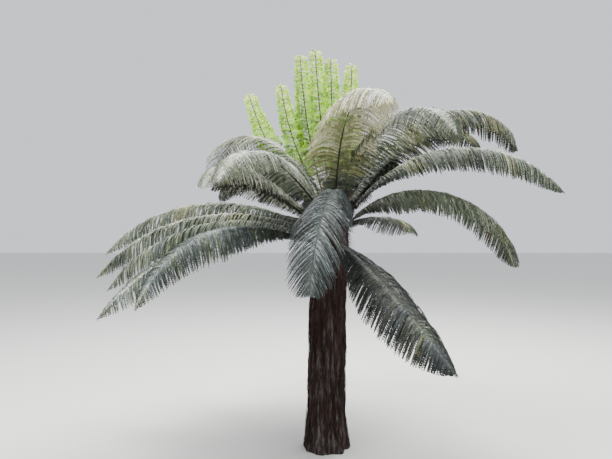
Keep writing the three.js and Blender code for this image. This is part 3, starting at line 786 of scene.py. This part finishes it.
# Bark relief: depth, how many round the trunk, their pitch in height, their slant, and a seed
BARK_LAYERS = [
    (0.013, 34, 0.23, 0.4, 1),
    (0.008, 85, 0.12, -0.3, 2),
    (0.005, 170, 0.06, 0, 3),
    (0.01, 16, 0.06, 0, 4),
]


def bumps(angle, height, around, pitch, seed):
    """Smooth random bumps between 0 and 1: so many round the trunk, and pitch apart in height."""
    grid = np.random.default_rng(seed).random((int(TRUNK_HEIGHT * 1.2 / pitch) + 3, around))
    x = (angle / (2 * math.pi) * around) % around
    y = height / pitch
    x0, y0 = x.astype(int), y.astype(int)
    fx, fy = smoothstep(x - x0, 0, 1), smoothstep(y - y0, 0, 1)
    x1 = (x0 + 1) % around
    low = lerp(grid[y0, x0 % around], grid[y0, x1], fx)
    high = lerp(grid[y0 + 1, x0 % around], grid[y0 + 1, x1], fx)
    return lerp(low, high, fy)


def bark_relief(angle, z):
    """Ropes of roots, strands, fibres and lumps, added up."""
    return sum(
        depth * (bumps(angle + z * slant, z, around, pitch, seed) - 0.5)
        for depth, around, pitch, slant, seed in BARK_LAYERS
    )


def trunk_mesh():
    share = np.linspace(0, 1, RINGS)
    z = TRUNK_HEIGHT * np.sin(share * math.pi / 2) ** RING_POWER
    z = np.minimum(z, TRUNK_HEIGHT - TOP_GAP)
    angle = np.arange(SIDES) * 2 * math.pi / SIDES
    angles, heights = np.meshgrid(angle, z)
    bare = trunk_radius(heights) * trunk_lobes(angles, heights)
    relief = bark_relief(angles, heights) * np.minimum(1, bare / FULL_RELIEF_RADIUS)
    radius = np.maximum(bare + relief, LEAST_RADIUS)
    centre = trunk_centre(heights)
    points = centre + radius[..., None] * np.stack([np.cos(angles), np.sin(angles), 0 * angles], -1)
    i = np.arange(RINGS - 1)[:, None] * SIDES
    k = np.arange(SIDES)[None]
    after = (k + 1) % SIDES
    faces = np.stack([i + k, i + after, i + SIDES + after, i + SIDES + k], -1).reshape(-1, 4)
    return points.reshape(-1, 3), faces


def mapped_noise(tree, coords, stretch, scale, detail):
    mapping = tree.nodes.new("ShaderNodeMapping")
    mapping.inputs["Scale"].default_value = stretch
    noise = tree.nodes.new("ShaderNodeTexNoise")
    noise.inputs["Scale"].default_value = scale
    noise.inputs["Detail"].default_value = detail
    noise.inputs["Roughness"].default_value = 0.65
    tree.links.new(coords.outputs["Object"], mapping.inputs["Vector"])
    tree.links.new(mapping.outputs["Vector"], noise.inputs["Vector"])
    return noise


# Bark colours by their places in the noise, and the colour that it turns to near the crown
BARK_COLOURS = {0.32: "1c1918", 0.5: "372f2d", 0.72: "706a67"}
CROWN_BARK = "3a2824"
REDDER_FROM, REDDER_TO = 0.4, 1.6  # heights


def bark_material():
    """Grey-brown root fibre, mottled, and redder towards the crown."""
    mat = material("bark", "3a322e", 0.95, 0.1)
    tree = mat.node_tree
    coords = tree.nodes.new("ShaderNodeTexCoord")
    streaks = mapped_noise(tree, coords, stretch=(14, 14, 2.2), scale=2.5, detail=6)
    ramp = tree.nodes.new("ShaderNodeValToRGB")
    ramp.color_ramp.elements.new(0.5)
    for stop, (place, colour) in zip(ramp.color_ramp.elements, BARK_COLOURS.items()):
        stop.position = place
        stop.color = srgb(colour)
    tree.links.new(streaks.outputs["Fac"], ramp.inputs["Fac"])
    patches = mapped_noise(tree, coords, stretch=(3, 3, 1.6), scale=2.0, detail=3)
    height = tree.nodes.new("ShaderNodeSeparateXYZ")
    tree.links.new(coords.outputs["Object"], height.inputs["Vector"])
    climb = tree.nodes.new("ShaderNodeMapRange")
    climb.inputs["From Min"].default_value = REDDER_FROM
    climb.inputs["From Max"].default_value = REDDER_TO
    tree.links.new(height.outputs["Z"], climb.inputs["Value"])
    share = tree.nodes.new("ShaderNodeMath")
    share.operation = "MULTIPLY"
    tree.links.new(patches.outputs["Fac"], share.inputs[0])
    tree.links.new(climb.outputs["Result"], share.inputs[1])
    mix = tree.nodes.new("ShaderNodeMix")
    mix.data_type = "RGBA"
    tree.links.new(share.outputs["Value"], mix.inputs["Factor"])
    tree.links.new(ramp.outputs["Color"], mix.inputs["A"])
    mix.inputs["B"].default_value = srgb(CROWN_BARK)
    tree.links.new(mix.outputs["Result"], tree.nodes["Principled BSDF"].inputs["Base Color"])
    return mat


piece("trunk_surface", *trunk_mesh(), bark_material(), "trunk", ["trunk"], True)


FIBRE_ROWS = 7
FIBRE_TOP = (0.08, 1.84)
FIBRE_LENGTH = (0.1, 0.42)
FIBRE_FOOT = 0.01  # fibres end this far above the ground
FIBRE_WANDER = 0.035
FIBRE_LIFT = 0.007
FIBRE_BOW = 0.012
FIBRE_RADIUS = (0.0011, 0.0026)
FIBRE_TAPER = 0.6


def root_fibres(count, seed):
    """Thin roots that run down the bark, some of which bow away from it."""
    local = np.random.default_rng(seed)
    t = np.linspace(0, 1, FIBRE_ROWS)
    top = local.uniform(*FIBRE_TOP, count)
    length = np.minimum(local.uniform(*FIBRE_LENGTH, count), top - FIBRE_FOOT)
    z = top[:, None] - length[:, None] * t
    start = local.uniform(0, 2 * math.pi, count)[:, None]
    angle = start + np.cumsum(local.normal(0, FIBRE_WANDER, (count, FIBRE_ROWS)), 1)
    lowest = local.uniform(0.0, FIBRE_LIFT, count)[:, None]
    lift = lowest + FIBRE_BOW * np.sin(math.pi * t) * local.random((count, 1)) ** 3
    radius = trunk_radius(z) * trunk_lobes(angle, z) + bark_relief(angle, z) + lift
    at = trunk_centre(z) + radius[..., None] * np.stack([np.cos(angle), np.sin(angle), 0 * angle], -1)
    axis = unit(np.gradient(at, axis=1))
    thick = local.uniform(*FIBRE_RADIUS, count)[:, None] * (1 - FIBRE_TAPER * t)
    return tubes(at, axis, thick, THIN_SIDES)


root_dark = material("root_dark", "241a16", 0.9, 0.1)
root_red = material("root_red", "43302a", 0.9, 0.1)
piece("root_fibres_dark", *root_fibres(count=800, seed=21), root_dark, "trunk", ["trunk"])
piece("root_fibres_red", *root_fibres(count=500, seed=22), root_red, "trunk", ["trunk"])


# An old stalk from its foot to its blunt end: share of its length, width against the usual one
STUB_PROFILE = [(0, 1.1), (0.3, 0.95), (0.7, 0.75), (0.93, 0.66), (0.97, 0.4), (1.0, 0.02)]
STUB_SIDES = 9


def stubs():
    """Old stalk ends, in the places that the solids give them."""
    index = np.arange(STUB_COUNT)
    z = lerp(STUB_LOW, STUB_HIGH, index / (STUB_COUNT - 1))
    angle = np.radians(GOLDEN_ANGLE * index + STUB_TURN)
    out = np.stack([np.cos(angle), np.sin(angle), 0 * angle], -1)
    length = STUB_LENGTH * (1 - STUB_SPREAD + STUB_SPREAD * np.sin(5 * index))
    along = unit(out * STUB_WAY[0] + UP * STUB_WAY[1])
    foot = trunk_centre(z) + out * (trunk_radius(z) - STUB_RADIUS)[:, None]
    root = foot - along * (length * STUB_SINK)[:, None]
    t, widths = np.array(STUB_PROFILE).T
    at = root[:, None] + along[:, None] * (length[:, None] * t)[..., None]
    axes = np.repeat(along[:, None], len(t), 1)
    radii = np.repeat((STUB_RADIUS * widths)[None], STUB_COUNT, 0)
    return tubes(at, axes, radii, STUB_SIDES)


piece("old_stalks", *stubs(), material("old_stalk", "3b2a20", 0.85, 0.15), "trunk", ["trunk"], True)


HAIR_LOW = 1.55  # hairs grow on the trunk from here up
HAIR_CROWDING = 0.7
HAIR_TOP_GAP = 0.004
HAIRY_SHARE = 0.13  # and on so much of each frond, from its foot
HAIR_SHORTEST = 0.02
HAIR_LENGTH = 0.055
DEAD_LENGTH = 0.13
HAIR_RADIUS = (0.0007, 0.0014)
HAIR_STOPS = np.array([0, 0.5, 1.0])
HAIR_TAPER = np.array([1, 0.8, 0.2])
HAIR_RISE = 0.5  # how far those on the trunk point up
HAIR_LEAN = 0.8  # and those on stalks towards the tip
HAIR_SINK = 0.7
HAIR_HANG = 0.4
HAIR_TANGLE = 0.35
STALK_HAIRS = 12  # each stalk has a twelfth of the trunk's number
STALK_CROWDING = 1.5  # they crowd at its foot


def hairs(count, seed, longest):
    """Thin tubes on the crown and on the foot of each stalk, which stand off and hang a little."""
    local = np.random.default_rng(seed)
    angle = local.uniform(0, 2 * math.pi, count)
    z = TRUNK_HEIGHT - (TRUNK_HEIGHT - HAIR_LOW) * local.random(count) ** HAIR_CROWDING
    z = np.minimum(z, TRUNK_HEIGHT - HAIR_TOP_GAP)
    out = np.stack([np.cos(angle), np.sin(angle), 0 * angle], -1)
    roots = [trunk_centre(z) + out * (trunk_radius(z) * trunk_lobes(angle, z))[:, None]]
    ways = [out + UP * HAIR_RISE]
    for spec in FRONDS:
        line = Line(spec)
        s = HAIRY_SHARE * local.random(count // STALK_HAIRS) ** STALK_CROWDING
        at, along, up, side = line.sample(s)
        turn = local.uniform(0, 2 * math.pi, len(s))[:, None]
        away = up * np.sin(turn) + side * np.cos(turn)
        roots.append(at + away * STALK_RADIUS * HAIR_SINK)
        ways.append(away + along * HAIR_LEAN)
    root, way = np.concatenate(roots), unit(np.concatenate(ways))
    way = unit(way + local.normal(0, HAIR_TANGLE, way.shape))
    t = HAIR_STOPS[None, :, None]
    length = local.uniform(HAIR_SHORTEST, longest, len(root))[:, None, None]
    at = root[:, None] + way[:, None] * t * length - UP * t**2 * length * HAIR_HANG
    axis = unit(np.gradient(at, axis=1))
    thick = local.uniform(*HAIR_RADIUS, len(root))[:, None] * HAIR_TAPER
    return tubes(at, axis, thick, THIN_SIDES)


hair_dark = material("hair_dark", "2b1c18", 0.9, 0.1)
piece("hairs_dark", *hairs(count=700, seed=31, longest=HAIR_LENGTH), hair_dark, "trunk", [])
hair_brown = material("hair_brown", "5a3b2c", 0.9, 0.1)
piece("hairs_brown", *hairs(count=500, seed=32, longest=HAIR_LENGTH), hair_brown, "trunk", [])
dead_brown = material("dead_leaflet", "46343a", 0.8, 0.2)
piece("dead_leaflets", *hairs(count=260, seed=33, longest=DEAD_LENGTH), dead_brown, "trunk", [])

# Stage

FLOOR_SIZE = 60
FLOOR_GAP = 0.0005  # below the flat foot of the trunk
LIT_PLACE = (0, 0, 1.8)  # where the lights point


def floor():
    bpy.ops.mesh.primitive_plane_add(size=FLOOR_SIZE, location=(0, 0, -FLOOR_GAP))
    plane = bpy.context.object
    plane.name = "floor"
    plane.data.materials.append(material("floor", "dcdbd6", 0.9, 0.1))
    plane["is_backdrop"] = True


def area_light(name, place, size, power):
    data = bpy.data.lights.new(name, "AREA")
    data.size = size
    data.energy = power
    lamp = bpy.data.objects.new(name, data)
    lamp.location = place
    aim = np.array(LIT_PLACE) - np.array(place)
    lamp.rotation_mode = "QUATERNION"
    lamp.rotation_quaternion = Vector(aim).to_track_quat("-Z", "Y")
    bpy.context.scene.collection.objects.link(lamp)


floor()
area_light("key", (-3, -2, 8), size=4, power=800)
area_light("top", (1.5, 3, 8), size=5, power=1500)
area_light("fill", (5, -7, 4), size=5, power=200)

SKY = (0.9, 0.93, 1.0, 1)
SKY_STRENGTH = 1.05
world = bpy.data.worlds.new("world")
bpy.context.scene.world = world
world.use_nodes = True
world.node_tree.nodes["Background"].inputs["Color"].default_value = SKY
world.node_tree.nodes["Background"].inputs["Strength"].default_value = SKY_STRENGTH

# Camera: the photograph's place, 5.8 m in front at 1.94 m, looking a little down

CAMERA_PLACE = (-0.166, -5.81, 1.942)
CAMERA_DIP = 1.19  # degrees below level
SENSOR_WIDTH = 36
LENS = 41.2
camera_data = bpy.data.cameras.new("camera")
camera_data.sensor_width = SENSOR_WIDTH
camera_data.lens = LENS
camera = bpy.data.objects.new("camera", camera_data)
camera.location = CAMERA_PLACE
camera.rotation_euler = (math.radians(90 - CAMERA_DIP), 0, 0)
bpy.context.scene.collection.objects.link(camera)
bpy.context.scene.camera = camera

low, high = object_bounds()
